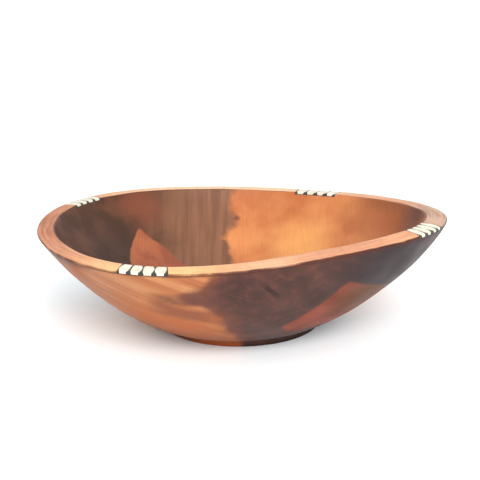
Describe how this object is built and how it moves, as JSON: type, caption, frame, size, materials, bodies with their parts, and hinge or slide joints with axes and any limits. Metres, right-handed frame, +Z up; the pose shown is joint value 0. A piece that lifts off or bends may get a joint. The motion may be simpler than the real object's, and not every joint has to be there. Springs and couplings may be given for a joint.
{
  "type": "carved wooden bowl",
  "caption": "Shallow oval wooden bowl with a broad rim, inlaid with rows of bone ovals in black filler, on a low round foot.",
  "frame": {"origin": "centre of the foot's flat underside", "axes": "+Z up, +X along the bowl's long diameter towards its drawn-out end"},
  "size_m": [0.3156, 0.2833, 0.0903],
  "materials": {
    "wood": "oiled two-tone hardwood, orange-tan sapwood against dark brown heartwood, soft satin",
    "bone": "white bone filed flush and polished",
    "filler": "hard black filler filed flush, satin"
  },
  "bodies": {
    "root": {"bowl_body": "wood", "filler_front": "filler", "filler_right": "filler", "filler_back": "filler", "filler_left": "filler", "bone_front_1": "bone", "bone_front_2": "bone", "bone_front_3": "bone", "bone_front_4": "bone", "bone_right_1": "bone", "bone_right_2": "bone", "bone_right_3": "bone", "bone_right_4": "bone", "bone_back_1": "bone", "bone_back_2": "bone", "bone_back_3": "bone", "bone_back_4": "bone", "bone_left_1": "bone", "bone_left_2": "bone", "bone_left_3": "bone", "bone_left_4": "bone"}
  },
  "joints": []
}
